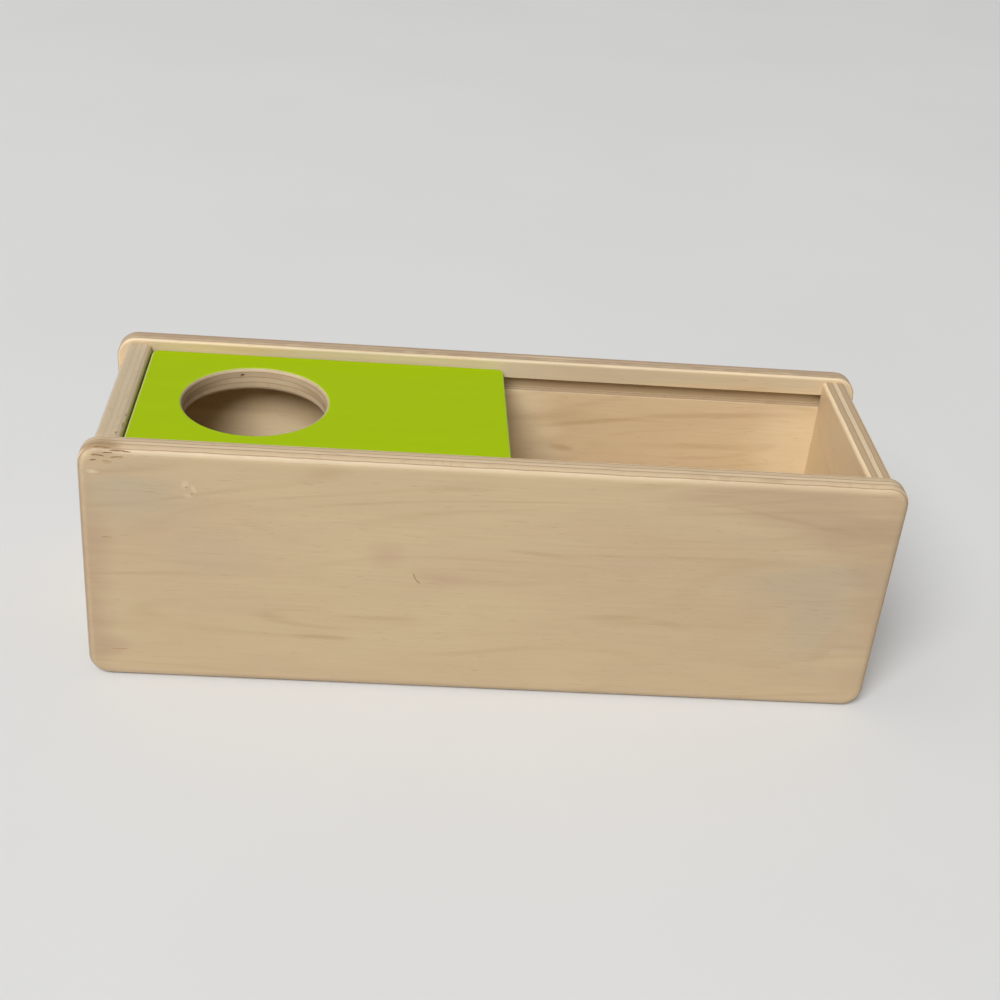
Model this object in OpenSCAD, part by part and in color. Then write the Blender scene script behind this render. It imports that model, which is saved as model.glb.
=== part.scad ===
// Sliding-lid box for dropping a ball and finding it again.
// Four plywood walls, a housed base and a lid that runs in grooves in the long walls.
// Millimetres, +Z up. The origin is on the ground under the middle of the box,
// +X runs along the box towards the side that the lid uncovers, and -Y faces the user.

/* [Long panels] */
// Length of the front and back panels
panel_length = 260; // [200:1:340]
// Height of the front and back panels
panel_height = 86; // [70:1:120]
// Thickness of the front, back and end boards
board_thickness = 8; // [7:0.5:10]
// Clear width between the front and back panels
inner_width = 70; // [62:1:100]
// Corner radius of the long panels, seen from the front
panel_corner_radius = 7; // [4:0.5:12]
// Rounding of the long panels' outer edges
outer_arris = 3; // [1:0.25:3.5]
// Rounding of the long panels' inner edges
inner_arris = 1; // [0.5:0.25:2]

/* [End boards] */
// How far the long panels run past the end boards
end_inset = 4; // [2:0.5:8]
// How far the end boards stop short of the long panels' top and bottom edges
end_setback = 1.5; // [0.5:0.25:3]
// Rounding of the end boards' top and bottom edges
end_arris = 1.75; // [0.5:0.25:3]

/* [Base] */
// Thickness of the base board
base_thickness = 5; // [3:0.5:6]
// Height of the base board's underside above the ground
base_rise = 6; // [5:0.5:12]
// How far the base board reaches into each wall
base_reach = 3.9; // [2:0.1:4.5]

/* [Lid] */
// Length of the lid along its slide
lid_length = 121.5; // [104:0.5:150]
// Thickness of the lid
lid_thickness = 8; // [7:0.5:10]
// Depth of the lid's top face below the long panels' top edges
lid_recess = 3.3; // [2:0.1:6]
// Thickness of the tongue left along each long edge of the lid
tongue_thickness = 4.4; // [3:0.1:5]
// How far a tongue reaches into its groove
tongue_reach = 3.5; // [2:0.25:4]
// Corner radius of the lid, seen from above
lid_corner_radius = 2.5; // [1.25:0.25:4]
// Rounding of the lid's top and bottom edges
lid_arris = 1; // [0.25:0.25:1.25]
// Diameter of the drop hole
hole_diameter = 47; // [45:0.5:56]
// Distance from the lid's near end to the centre of the drop hole
hole_offset = 38; // [33:0.5:60]
// Rounding of the drop hole's rims
hole_arris = 1.4; // [0.4:0.1:2]

/* [Dowels] */
// Diameter of a dowel
dowel_diameter = 4; // [3:0.5:4.5]
// Length of a dowel
dowel_length = 16; // [12:1:24]
// How far a dowel reaches into a long panel
dowel_panel_reach = 5; // [3:0.5:5.5]
// Dowels in each corner of the box
dowel_count = 3; // [2:1:4]

/* [Clearances] */
// Gap above and below a tongue in its groove
slide_clearance = 0.3; // [0.3:0.05:0.5]
// Gap between the lid and the walls beside it
side_clearance = 0.5; // [0.3:0.05:0.8]
// Gap between the lid and an end board when the lid is at that end
stop_clearance = 0.5; // [0.3:0.05:1]
// Gap left for glue round the base board and the dowels
glue_gap = 0.1; // [0.05:0.05:0.2]

/* [Hidden] */
$fn = 64;
// How far a cut runs past the face that it opens
overrun = 1;
// Width of the chamfer on a dowel's ends
dowel_chamfer = 0.6;

box_depth = inner_width + 2 * board_thickness;
inner_length = panel_length - 2 * end_inset - 2 * board_thickness;
end_height = panel_height - 2 * end_setback;
end_middle = inner_length / 2 + board_thickness / 2;

base_length = inner_length + 2 * base_reach;
base_width = inner_width + 2 * base_reach;
housing_depth = base_reach + glue_gap;
housing_height = base_thickness + 2 * glue_gap;
housing_low = base_rise - glue_gap;
// A stopped housing ends in the half round of its cutter, past the base board's square end
housing_run = base_length + 2 * glue_gap + housing_height;

lid_low = panel_height - lid_recess - lid_thickness;
lid_start = -inner_length / 2 + stop_clearance;
lid_width = inner_width - 2 * side_clearance;
tongue_width = inner_width + 2 * tongue_reach;
groove_low = lid_low - slide_clearance;
groove_height = tongue_thickness + 2 * slide_clearance;
groove_depth = tongue_reach + side_clearance;
groove_run = inner_length + groove_height;

dowel_hole_radius = dowel_diameter / 2 + glue_gap;
dowel_zone_low = base_rise + base_thickness;
dowel_zone = groove_low - dowel_zone_low;
dowel_levels = [for (k = [0 : dowel_count - 1]) dowel_zone_low + dowel_zone * (2 * k + 1) / (2 * dowel_count)];

wood_color = [0.80, 0.68, 0.51];
base_color = [0.78, 0.67, 0.52];
lid_color = [0.63, 0.75, 0.06];
dowel_color = [0.74, 0.58, 0.40];

// Corner of a rectangle that a rounding of this radius takes away, at the origin, pointing to +X -Y
module arris_waste(radius) {
    difference() {
        translate([-radius, -overrun])
            square([radius + overrun, radius + overrun]);
        translate([-radius, radius])
            circle(radius);
    }
}

// Section through the rim of a board: the free edge is at x = width, the lower face on y = 0
module rim_section(width, thickness, low_arris, high_arris) {
    difference() {
        square([width, thickness]);
        if (low_arris > 0)
            translate([width, 0])
                arris_waste(low_arris);
        if (high_arris > 0)
            translate([width, thickness])
                mirror([0, 1])
                    arris_waste(high_arris);
    }
}

// Board lying on z = 0 about the origin, with round corners and its rounded rim carried round them
module rounded_board(length, width, thickness, corner, low_arris, high_arris) {
    straight_x = length - 2 * corner;
    straight_y = width - 2 * corner;
    translate([-straight_x / 2, -straight_y / 2, 0])
        cube([straight_x, straight_y, thickness]);
    for (turn = [0, 180]) {
        rotate([0, 0, turn])
            translate([-straight_x / 2, straight_y / 2, 0])
                rotate([90, 0, 90])
                    linear_extrude(straight_x)
                        rim_section(corner, thickness, low_arris, high_arris);
        rotate([0, 0, turn])
            translate([straight_x / 2, straight_y / 2, 0])
                rotate([90, 0, 0])
                    linear_extrude(straight_y)
                        rim_section(corner, thickness, low_arris, high_arris);
    }
    for (side_x = [-1, 1], side_y = [-1, 1])
        translate([side_x * straight_x / 2, side_y * straight_y / 2, 0])
            rotate([0, 0, side_x > 0 ? (side_y > 0 ? 0 : 270) : (side_y > 0 ? 90 : 180)])
                rotate_extrude(angle = 90)
                    rim_section(corner, thickness, low_arris, high_arris);
}

// Slot with half-round ends, as a round cutter leaves it
module cutter_slot(run, height) {
    square([run - height, height], center = true);
    for (side = [-1, 1])
        translate([side * (run - height) / 2, 0])
            circle(height / 2);
}

// Groove that stops short of the ends of the front panel, cut from the panel's inner face
module stopped_groove(run, low, height, depth) {
    translate([0, overrun - inner_width / 2, low + height / 2])
        rotate([90, 0, 0])
            linear_extrude(depth + overrun)
                cutter_slot(run, height);
}

// Round rod along Y from y = start, towards the back
module rod_along_y(radius, start, length) {
    translate([0, start, 0])
        rotate([-90, 0, 0])
            cylinder(h = length, r = radius);
}

// The blind holes of one front corner, in the long panel and in the end board's edge
module dowel_holes() {
    for (level = dowel_levels)
        translate([0, 0, level])
            rod_along_y(
                dowel_hole_radius,
                -inner_width / 2 - dowel_panel_reach - glue_gap,
                dowel_length + 2 * glue_gap
            );
}

module chamfered_dowel() {
    body = dowel_length - 2 * dowel_chamfer;
    tip_radius = dowel_diameter / 2 - dowel_chamfer;
    cylinder(h = dowel_chamfer, r1 = tip_radius, r2 = dowel_diameter / 2);
    translate([0, 0, dowel_chamfer])
        cylinder(h = body, r = dowel_diameter / 2);
    translate([0, 0, dowel_chamfer + body])
        cylinder(h = dowel_chamfer, r1 = dowel_diameter / 2, r2 = tip_radius);
}

// One corner's dowels, for a front corner on the side given by -1 or 1
module front_corner_dowels(side) {
    for (level = dowel_levels)
        translate([side * end_middle, -inner_width / 2 - dowel_panel_reach, level])
            rotate([-90, 0, 0])
                chamfered_dowel();
}

// The front panel at its place; turned half round about Z it is the back panel
module long_panel() {
    difference() {
        translate([0, -box_depth / 2, panel_height / 2])
            rotate([-90, 0, 0])
                rounded_board(
                    panel_length, panel_height, board_thickness,
                    panel_corner_radius, outer_arris, inner_arris
                );
        stopped_groove(groove_run, groove_low, groove_height, groove_depth);
        stopped_groove(housing_run, housing_low, housing_height, housing_depth);
        for (side = [-1, 1])
            translate([side * end_middle, 0, 0])
                dowel_holes();
    }
}

// Section of an end board through its thickness, standing on y = 0 about x = 0
module end_section() {
    half = board_thickness / 2;
    for (turn = [0, 1])
        mirror([turn, 0])
            rim_section(half, end_height, end_arris, end_arris);
}

// The right end board at its place; turned half round about Z it is the left one
module end_board() {
    difference() {
        translate([end_middle, inner_width / 2, end_setback])
            rotate([90, 0, 0])
                linear_extrude(inner_width)
                    end_section();
        translate([inner_length / 2 - overrun, -inner_width / 2 - overrun, housing_low])
            cube([housing_depth + overrun, inner_width + 2 * overrun, housing_height]);
        for (turn = [0, 180])
            translate([end_middle, 0, 0])
                rotate([0, 0, turn])
                    dowel_holes();
    }
}

module front_panel() {
    color(wood_color)
        long_panel();
}

module back_panel() {
    color(wood_color)
        rotate([0, 0, 180])
            long_panel();
}

module left_end_board() {
    color(wood_color)
        rotate([0, 0, 180])
            end_board();
}

module right_end_board() {
    color(wood_color)
        end_board();
}

module base_board() {
    color(base_color)
        translate([-base_length / 2, -base_width / 2, base_rise])
            cube([base_length, base_width, base_thickness]);
}

// The lid at the near end of its slide: a tongued lower half under a narrower, round-cornered top
module sliding_lid() {
    top_thickness = lid_thickness - tongue_thickness;
    color(lid_color)
        difference() {
            translate([lid_start + lid_length / 2, 0, lid_low]) {
                rounded_board(lid_length, tongue_width, tongue_thickness, lid_corner_radius, lid_arris, 0);
                translate([0, 0, tongue_thickness])
                    rounded_board(lid_length, lid_width, top_thickness, lid_corner_radius, 0, lid_arris);
            }
            translate([lid_start + hole_offset, 0, lid_low])
                drop_hole();
        }
}

// Space of the drop hole from the lid's underside up, flared where its two rims are rounded
module drop_hole() {
    radius = hole_diameter / 2;
    rotate_extrude() {
        translate([0, -overrun])
            square([radius, lid_thickness + 2 * overrun]);
        translate([radius, 0])
            mirror([1, 0])
                arris_waste(hole_arris);
        translate([radius, lid_thickness])
            rotate(180)
                arris_waste(hole_arris);
    }
}

module front_left_dowels() {
    color(dowel_color)
        front_corner_dowels(-1);
}

module front_right_dowels() {
    color(dowel_color)
        front_corner_dowels(1);
}

module back_left_dowels() {
    color(dowel_color)
        rotate([0, 0, 180])
            front_corner_dowels(1);
}

module back_right_dowels() {
    color(dowel_color)
        rotate([0, 0, 180])
            front_corner_dowels(-1);
}

front_panel();
back_panel();
left_end_board();
right_end_board();
base_board();
sliding_lid();
front_left_dowels();
front_right_dowels();
back_left_dowels();
back_right_dowels();
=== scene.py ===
"""Dresses a packed sliding-lid toy box: birch plywood walls, a lime green lid and dowels in its corners."""
import math

import bmesh
import bpy
from bpy.props import FloatProperty, FloatVectorProperty, IntProperty, PointerProperty
from mathutils import Matrix, Vector, noise


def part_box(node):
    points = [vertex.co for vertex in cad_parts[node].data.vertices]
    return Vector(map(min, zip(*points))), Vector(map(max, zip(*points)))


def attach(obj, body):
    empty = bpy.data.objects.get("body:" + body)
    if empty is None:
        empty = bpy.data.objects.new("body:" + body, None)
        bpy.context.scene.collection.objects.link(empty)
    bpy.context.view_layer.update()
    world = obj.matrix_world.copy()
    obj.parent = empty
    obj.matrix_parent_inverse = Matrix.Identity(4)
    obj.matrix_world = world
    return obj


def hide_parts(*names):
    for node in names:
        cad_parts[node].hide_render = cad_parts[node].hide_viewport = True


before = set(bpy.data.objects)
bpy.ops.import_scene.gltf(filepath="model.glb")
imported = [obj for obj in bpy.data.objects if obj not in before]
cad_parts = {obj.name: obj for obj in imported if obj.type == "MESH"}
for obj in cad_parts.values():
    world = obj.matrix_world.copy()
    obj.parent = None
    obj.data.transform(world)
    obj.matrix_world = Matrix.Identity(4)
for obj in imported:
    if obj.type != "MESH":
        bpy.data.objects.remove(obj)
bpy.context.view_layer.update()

bl_info = {
    "name": "Sliding lid box",
    "version": (1, 0, 0),
    "blender": (4, 5, 0),
    "location": "View3D > Sidebar > Toy box",
    "description": "Plywood walls, painted lid and dowels for a box with a sliding lid",
    "category": "Add Mesh",
}

MM = 0.001
SENSOR_WIDTH = 36

# Sides of the round cutters: the drill for the dowels and the plug of the drop hole
DRILL_SIDES = 32
PLUG_SIDES = 96
# Share of a groove's height that rounds its ends, a hair under half so that the two fillets don't touch
GROOVE_ROUND = 0.4999
# Faces that meet at more than this angle keep a sharp edge
SHARP_ANGLE = math.radians(32)
# How uneven the lumps are that cut the nicks, and how closely their bumps sit
LUMP_UNEVEN = 0.3
LUMP_BUMPS = 2.1
# Nearly all of a noise lies between these values
NOISE_SPAN = {"From Min": 0.3, "From Max": 0.7}

# Nicks by hand and tool: place, half sizes and turn, in millimetres and degrees
FRONT_NICKS = (
    ((-24.5, -43.12, 44.7), (1.6, 0.32, 0.36), 70), ((-23.3, -43.12, 42.9), (1.1, 0.3, 0.36), 38),
    ((-121.5, -43.05, 54), (1.7, 0.22, 0.28), 2), ((-119.2, -43.05, 11), (2.6, 0.22, 0.26), -2),
    ((-122.4, -42.8, 83.2), (2.8, 0.22, 0.5), 3), ((-117.2, -42.92, 82.9), (2.2, 0.2, 0.4), -4),
    ((-120.4, -43.04, 81.3), (1.6, 0.14, 0.4), 5), ((-124.6, -42.85, 81.6), (1.4, 0.2, 0.4), -3),
    ((-122.0, -41.7, 85.3), (3.2, 0.4, 0.3), 1), ((-117.4, -42.2, 84.8), (2.6, 0.34, 0.3), -2),
    ((-119.6, -42.62, 84.0), (3.0, 0.2, 0.36), 2), ((-114.2, -42.35, 84.6), (1.6, 0.26, 0.26), 2),
    ((-96.6, -43.06, 73.5), (0.5, 0.16, 0.3), 20), ((-94.8, -43.06, 71.2), (0.6, 0.16, 0.26), -30),
)
LEFT_END_NICKS = (
    ((-119.4, -30, 84.5), (0.5, 0.6, 0.45), 0), ((-118.3, -24, 84.0), (0.3, 2.0, 0.3), 2),
    ((-118.35, -17, 84.1), (0.3, 1.4, 0.3), -2),
)
LID_NICKS = (((-85.6, 22.9, 80.4), (0.8, 0.7, 0.5), 0),)

# Soft patches of tone in the veneer, among them painted light and painted shade: centre and reach in
# millimetres, turn in degrees, colour and strength
FRONT_TONES_AND_PAINTED_SHADE = (
    ((-113, -43, 70), (26, 6, 16), 0, "cloud", 0.65), ((-90, -43, 49), (20, 6, 10), 0, "cloud", 0.4),
    ((104, -43, 48), (30, 6, 13), 0, "cloud", 0.65), ((110, -43, 30), (15, 6, 15), 0, "cloud", 0.55),
    ((98, -43, 75), (50, 6, 12), 8, "shade", 0.5), ((116, -43, 66), (20, 6, 9), 0, "shade", 0.4),
    ((-34, -43, 52), (8, 6, 6), 0, "blush", 0.8), ((-16, -43, 43.5), (11, 6, 4), 0, "blush", 0.8),
    ((90, -43, 73.5), (34, 6, 1.1), 11, "ring", 0.25), ((-35, -43, 28), (14, 6, 1.0), 0, "ring", 0.22),
    ((-54, -43, 19.5), (12, 6, 1.0), 1, "ring", 0.4), ((16, -43, 55.5), (14, 6, 1.4), 6, "ring", 0.22),
    ((40, -43, 32.5), (17, 6, 1.6), -4, "ring", 0.24), ((60, -43, 31), (11, 6, 1.6), 10, "ring", 0.2),
    ((113, -43, 24), (3.5, 6, 11), 30, "blush", 0.7), ((-97, -43, 74.5), (1.6, 3, 2.6), 20, "pale", 0.35),
    ((-94.3, -43, 73), (1.2, 3, 2.2), -30, "pale", 0.4), ((-96, -43, 70.6), (2.4, 3, 1.1), 0, "pale", 0.45),
    # The second patch here is painted shade, darker towards the right end where less light falls
    ((-98, -43, 42), (46, 6, 40), 0, "blush", 0.45), ((92, -43, 45), (70, 6, 60), 0, "shade", 0.22),
    # The ring along the bottom is a painted contact shadow; the shade at the left end makes that end darker
    ((0, -43, 0), (200, 6, 2.4), 0, "ring", 0.6), ((-130, -43, 30), (12, 6, 60), 0, "shade", 0.65),
    # The first patch here is painted shade on the right end, which is turned from the light
    ((130, -43, 50), (14, 6, 50), 0, "shade", 0.5), ((-122.5, -41, 85), (8, 4, 3.2), 0, "ring", 0.95),
    ((-125, -43, 77.5), (3, 3, 1.2), 0, "pale", 0.8),
)
BACK_TONES_AND_PAINTED_LIGHT = (
    ((36, 35, 63.5), (30, 6, 1.3), -8, "ring", 0.4), ((84, 35, 69), (36, 6, 1.5), -4, "ring", 0.35),
    ((76, 35, 56), (28, 6, 2.2), -2, "ring", 0.3), ((27, 35, 52.7), (5, 6, 1.4), 6, "ring", 0.6),
    # Painted light: the first patch is a pool of light on the inner face below the drop hole, the second
    # lightens the lid's cast shadow
    ((-78, 35, 52), (30, 6, 16), 0, "pale", 0.45), ((8, 35, 55), (20, 6, 50), 0, "pale", 0.5),
    # A paler stretch at the right end of the inner face; the darker strip above the lid groove takes back
    # some of the painted inner light there
    ((110, 35, 45), (18, 6, 45), 0, "pale", 0.3), ((0, 35, 83), (170, 6, 5.5), 0, "cloud", 0.65),
    # Painted shade along the top edge
    ((0, 41.2, 86), (400, 5.2, 3), 0, "shade", 0.8),
)
# Painted light that lifts the shaded inner face of the right end
RIGHT_END_PAINTED_LIGHT = (((118, 0, 43), (6, 80, 90), 0, "pale", 0.16),)
LEFT_END_TONES = (((-122, 0, 84.5), (20, 80, 20), 0, "cloud", 0.5),)

# Length and width in millimetres of the marks in each pattern of the wood, and the detail of its noise
MARKS = {
    "tone": (70, 20, 2.0), "figure": (190, 27, 1.0), "breaks": (40, 7, 1.0),
    "fleck": (4.4, 0.45, 0.0), "fibres": (22, 0.6, 3.0), "scuff": (7, 2.2, 2.0),
}


def linear(code):
    """The linear colour of an sRGB hex value such as #C8AE88."""
    shares = [int(code[i:i + 2], 16) / 255 for i in (1, 3, 5)]
    return tuple(s / 12.92 if s <= 0.04045 else ((s + 0.055) / 1.055) ** 2.4 for s in shares)


def length(name, description, millimetres):
    """A length property with a default in millimetres."""
    return FloatProperty(name=name, description=description, default=millimetres * MM, unit="LENGTH")


def angle(name, description, degrees):
    """An angle property with a default in degrees."""
    return FloatProperty(name=name, description=description, default=math.radians(degrees), subtype="ANGLE")


def colour(name, description, code):
    """A colour property with a default as an sRGB hex value."""
    return FloatVectorProperty(
        name=name, description=description, default=linear(code), subtype="COLOR", min=0, max=1
    )


class BoardShape(bpy.types.PropertyGroup):
    """Sizes of the woodwork that the parts' boxes in model.glb don't give."""

    panel_corner: length("Panel corner", "Round corners of the long panels, seen from the front", 7)
    outer_arris: length("Outer arris", "Rounding of the long panels' outer edges", 3)
    inner_arris: length("Inner arris", "Rounding of the long panels' inner edges", 1)
    end_arris: length("End arris", "Rounding of the end boards' top and bottom edges", 1.75)
    lid_corner: length("Lid corner", "Round corners of the lid, seen from above", 2.5)
    lid_arris: length("Lid arris", "Rounding of the lid's top and bottom edges", 1)
    tongue_thickness: length("Tongue", "Thickness of the tongues that run in the grooves", 4.4)
    hole_radius: length("Hole radius", "Radius of the drop hole", 23.5)
    hole_offset: length("Hole offset", "From the lid's near end to the middle of the drop hole", 38)
    hole_arris: length("Hole arris", "Rounding of the drop hole's rims", 1.4)
    slide_clearance: length("Slide clearance", "Gap above and below a tongue in its groove", 0.3)
    side_clearance: length("Side clearance", "Gap between the lid and the walls beside it", 0.5)
    glue_gap: length("Glue gap", "Gap round the base board and the dowels", 0.1)
    overrun: length("Overrun", "How far a groove's cutter stands out of the face that it cuts", 1)
    wall_ply: length("Wall ply", "Pitch of the plies in the walls and the lid", 1.9)
    base_ply: length("Base ply", "Pitch of the plies in the base board", 2)
    dowel_chamfer: length("Dowel chamfer", "Chamfer on a dowel's ends", 0.6)
    dowel_flats: IntProperty(name="Dowel flats", description="Flats round a dowel", default=48)
    dowel_count: IntProperty(name="Dowel count", description="Dowels in each corner", default=3, min=2)
    steps: IntProperty(name="Steps", description="Flats in each quarter of a rounding", default=8)


class WoodColours(bpy.types.PropertyGroup):
    """Colours of the wood, the paint and the stage."""

    veneer: colour("Veneer", "Main tone of the birch face veneer", "#BCA682")
    blush: colour("Blush", "Pinker stretches of the veneer", "#B59B7C")
    cloud: colour("Cloud", "Pale greyish patches of the veneer", "#AB9D84")
    ring: colour("Ring", "Growth rings and flecks in the veneer", "#9C805B")
    edge: colour("Edge", "Cut edges of the inner plies", "#D2BB99")
    # Shade also colours patches of painted shade
    shade: colour("Shade", "Darker stretches of the veneer", "#A68C70")
    # Pale also colours the painted highlight on the roundings and patches of painted light
    pale: colour("Pale", "Scuffed roundings and raised grain", "#D6C6A6")
    glue: colour("Glue", "Glue lines between the plies", "#957659")
    bruise: colour("Bruise", "Nicks and torn grain", "#B89872")
    paint: colour("Paint", "Lime green paint of the lid", "#9EB900")
    # Thin paint here also stands for a painted highlight on the lid's arrises
    thin_paint_and_highlight: colour("Thin paint", "The paint where it is thin on the arrises", "#D2DA84")
    beech: colour("Beech", "Dowels", "#C49A6C")
    floor: colour("Floor", "Pale floor", "#D8D8D7")


class StageLook(bpy.types.PropertyGroup):
    """The camera, the light and the floor."""

    camera_place: FloatVectorProperty(
        name="Camera place", description="Where the camera stands", subtype="TRANSLATION", unit="LENGTH",
        default=(-37.55 * MM, -468.47 * MM, 323.78 * MM),
    )
    azimuth: angle("Azimuth", "Turn of the camera to the right of straight on", 4.417)
    elevation: angle("Elevation", "How far the camera looks down", 31.734)
    roll: angle("Roll", "Tilt of the camera to its left", 5.203)
    lens: FloatProperty(name="Lens", description="Focal length, in millimetres", default=57.111)
    shift: FloatVectorProperty(
        name="Shift", description="Lens shift, as a share of the picture", size=2, default=(0.02, 0.04)
    )
    key_strength: FloatProperty(name="Key", description="Power of the softbox, in watts", default=600.0)
    key_azimuth: angle("Key azimuth", "Turn of the softbox to the right of the front", -25)
    key_elevation: angle("Key elevation", "Height of the softbox above the floor", 46)
    key_distance: length("Key distance", "From the box to the softbox", 8000)
    key_size: length("Key size", "Width of the softbox", 4500)
    fill_strength: FloatProperty(name="Fill", description="Light of the surroundings", default=0.37)
    fill_lean: FloatProperty(
        name="Fill lean", description="How much brighter the left is than the mean, as a share", default=0.65
    )
    floor_reach: length("Floor reach", "Half the width of the floor", 4000)
    floor_drop: length("Floor drop", "How far the floor lies below the box", 0.05)
    fade_start: length("Fade start", "Where the floor starts to run into the backdrop", 1500)
    fade_end: length("Fade end", "Where the floor looks like the backdrop", 3500)


def add(tree, kind, inputs=None, **settings):
    """Adds a node with its settings and its inputs and returns its outputs. A shader node's kind has no
    prefix. An input is a value, a link or a list of links, and a colour has no alpha."""
    whole = kind.startswith(("Geometry", "Function", "NodeGroup"))
    node = tree.nodes.new(kind if whole else "ShaderNode" + kind)
    for name, value in settings.items():
        setattr(node, name, value)
    for key, value in (inputs or {}).items():
        socket = node.inputs[key]
        for item in value if isinstance(value, list) else [value]:
            if isinstance(item, bpy.types.NodeSocket):
                tree.links.new(item, socket)
            else:
                socket.default_value = (*item, 1) if socket.type == "RGBA" else item
    return node.outputs


def start_tree(name, floats, **others):
    """A geometry node tree with one geometry output; returns it and its inputs, which are the floats and the
    others, named for their socket types."""
    tree = bpy.data.node_groups.new(name, "GeometryNodeTree")
    for label, kind in {**dict.fromkeys(floats.split(), "Float"), **others}.items():
        tree.interface.new_socket(label, in_out="INPUT", socket_type="NodeSocket" + kind)
    tree.interface.new_socket("Geometry", in_out="OUTPUT", socket_type="NodeSocketGeometry")
    return tree, add(tree, "NodeGroupInput")


def swept_rim_tree():
    """A slab whose rim follows a flat outline: a rounding below, a straight edge and a rounding above.
    Side is 1 for roundings that draw in, as on a board, and -1 for a plug whose rims flare out."""
    tree, given = start_tree(
        "swept_rim", "thickness low_arris high_arris side", outline="Geometry", steps="Int"
    )
    tangent = add(tree, "GeometryNodeInputTangent")[0]
    outward = add(tree, "VectorMath", {0: tangent, 1: (0, 0, 1)}, operation="CROSS_PRODUCT")[0]
    back = add(tree, "Math", {0: given["side"], 1: -1.0}, operation="MULTIPLY")[0]
    low_inset = add(tree, "Math", {0: given["low_arris"], 1: back}, operation="MULTIPLY")[0]
    high_inset = add(tree, "Math", {0: given["high_arris"], 1: back}, operation="MULTIPLY")[0]

    # The profile is three lines with a fillet of its own radius at each corner; its -Y is the slab's +Z
    rise = add(tree, "Math", {0: given["thickness"], 1: -1.0}, operation="MULTIPLY")[0]
    corners = {
        "Point 1": add(tree, "CombineXYZ", {0: low_inset})[0],
        "Point 2": (0, 0, 0),
        "Point 3": add(tree, "CombineXYZ", {1: rise})[0],
        "Point 4": add(tree, "CombineXYZ", {0: high_inset, 1: rise})[0],
    }
    ring = add(tree, "GeometryNodeCurvePrimitiveQuadrilateral", corners, mode="POINTS")[0]
    line = add(tree, "GeometryNodeSetSplineCyclic", {"Geometry": ring, "Cyclic": False})[0]
    index = add(tree, "GeometryNodeInputIndex")[0]
    is_low = add(tree, "FunctionNodeCompare", {2: index, 3: 1}, data_type="INT", operation="EQUAL")[0]
    radius = add(
        tree, "GeometryNodeSwitch",
        {"Switch": is_low, "False": given["high_arris"], "True": given["low_arris"]}, input_type="FLOAT",
    )[0]
    profile = add(
        tree, "GeometryNodeFilletCurve",
        {"Curve": line, "Count": given["steps"], "Radius": radius, "Limit Radius": True}, mode="POLY",
    )[0]
    upright = add(tree, "GeometryNodeSetCurveNormal", {"Curve": given["outline"]}, mode="Z_UP")[0]
    strip = add(tree, "GeometryNodeCurveToMesh", {"Curve": upright, "Profile Curve": profile})[0]
    rim = add(tree, "GeometryNodeFlipFaces", {"Mesh": strip})[0]

    caps = []
    for inset, height in ((low_inset, None), (high_inset, given["thickness"])):
        offset = add(tree, "VectorMath", {"Vector": outward, "Scale": inset}, operation="SCALE")[0]
        drawn = add(tree, "GeometryNodeSetPosition", {"Geometry": upright, "Offset": offset})[0]
        face = add(tree, "GeometryNodeFillCurve", {"Curve": drawn}, mode="NGONS")[0]
        if height is None:
            caps.append(add(tree, "GeometryNodeFlipFaces", {"Mesh": face})[0])
        else:
            lift = add(tree, "CombineXYZ", {2: height})[0]
            caps.append(add(tree, "GeometryNodeTransform", {"Geometry": face, "Translation": lift})[0])
    joined = add(tree, "GeometryNodeJoinGeometry", {"Geometry": [rim, *caps]})[0]
    closed = add(tree, "GeometryNodeMergeByDistance", {"Geometry": joined, "Distance": 0.001 * MM})[0]
    add(tree, "NodeGroupOutput", {"Geometry": closed})
    return tree


def filleted_outline(tree, width, height, radius, steps):
    """A rectangle in XY with round corners, as a curve."""
    square = add(tree, "GeometryNodeCurvePrimitiveQuadrilateral", {"Width": width, "Height": height})[0]
    return add(
        tree, "GeometryNodeFilletCurve",
        {"Curve": square, "Count": steps, "Radius": radius, "Limit Radius": True}, mode="POLY",
    )[0]


def slab(tree, rim, outline, thickness, steps, low_arris=0.0, high_arris=0.0, side=1.0):
    """A swept_rim group in a tree."""
    sizes = {
        "outline": outline, "thickness": thickness, "low_arris": low_arris, "high_arris": high_arris,
        "side": side, "steps": steps,
    }
    return add(tree, "GeometryNodeGroup", sizes, node_tree=rim)[0]


def dowel_row(tree, given, item, first=0.0, low=0.0):
    """Copies of an item in a row along Y, one for each dowel of a corner."""
    start = add(tree, "CombineXYZ", {0: first, 1: given["dowel_start"], 2: low})[0]
    step = add(tree, "CombineXYZ", {1: given["dowel_step"]})[0]
    places = add(
        tree, "GeometryNodeMeshLine",
        {"Count": given["dowel_count"], "Start Location": start, "Offset": step},
    )[0]
    copies = add(tree, "GeometryNodeInstanceOnPoints", {"Points": places, "Instance": item})[0]
    return add(tree, "GeometryNodeRealizeInstances", {"Geometry": copies})[0]


def bored_holes(tree, given, first, low):
    """Drills for the dowel holes of a corner, each half way into the face at the height low."""
    long = add(tree, "Math", {0: given["dowel_hole_depth"], 1: 2.0}, operation="MULTIPLY")[0]
    drill = add(
        tree, "GeometryNodeMeshCylinder",
        {"Vertices": DRILL_SIDES, "Radius": given["dowel_hole_radius"], "Depth": long},
    )[0]
    return dowel_row(tree, given, drill, first, low)


def end_tree(tree, mesh, material, cutters=()):
    """Cuts a mesh by each cutter in turn and ends its tree with real geometry in one material."""
    for cutter in cutters:
        mesh = add(
            tree, "GeometryNodeMeshBoolean", {"Mesh 1": mesh, "Mesh 2": cutter},
            operation="DIFFERENCE", solver="EXACT",
        )[0]
    real = add(tree, "GeometryNodeRealizeInstances", {"Geometry": mesh})[0]
    done = add(tree, "GeometryNodeSetMaterial", {"Geometry": real, "Material": material})[0]
    add(tree, "NodeGroupOutput", {"Geometry": done})
    return tree


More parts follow.
